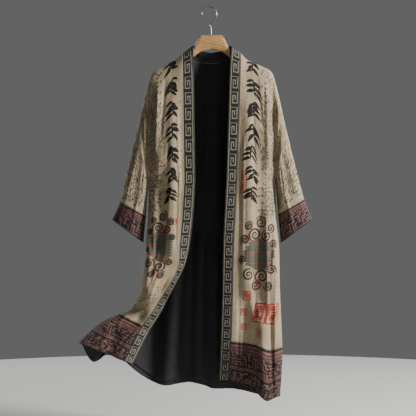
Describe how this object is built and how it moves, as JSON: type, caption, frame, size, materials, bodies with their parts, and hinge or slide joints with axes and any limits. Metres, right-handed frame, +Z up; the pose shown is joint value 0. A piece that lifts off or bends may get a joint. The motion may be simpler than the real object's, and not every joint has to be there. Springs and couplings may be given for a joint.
{
  "type": "long kimono robe on a wooden hanger",
  "caption": "Long open-front kimono robe with a fretted neckband, banded cuffs and a banded hem swung out at one side, on a wooden hanger with a steel hook.",
  "frame": {"origin": "under the crown of the hanger's hook, where a rail or peg carries it", "axes": "+Z up, the robe's front faces -Y, +X is the wearer's left"},
  "size_m": [0.7725, 0.2595, 1.3101],
  "materials": {
    "linen": "matt cream linen with printed motifs",
    "fret": "black cotton band with a cream key fret",
    "border": "dusty pink and black labyrinth print",
    "lining": "matt black slubbed cotton",
    "wood": "pale varnished wood",
    "steel": "bright steel wire"
  },
  "bodies": {
    "root": {"front_right": "linen", "hem_band_front_right": "border", "neckband_right": "fret", "front_left": "linen", "hem_band_front_left": "border", "neckband_left": "fret", "back": "linen", "hem_band_back": "border", "lining_back": "lining", "neckband_back": "fret", "sleeve_right": "linen", "cuff_right": "border", "sleeve_left": "linen", "cuff_left": "border", "hanger_wood": "wood", "hanger_hook": "steel"}
  },
  "joints": []
}
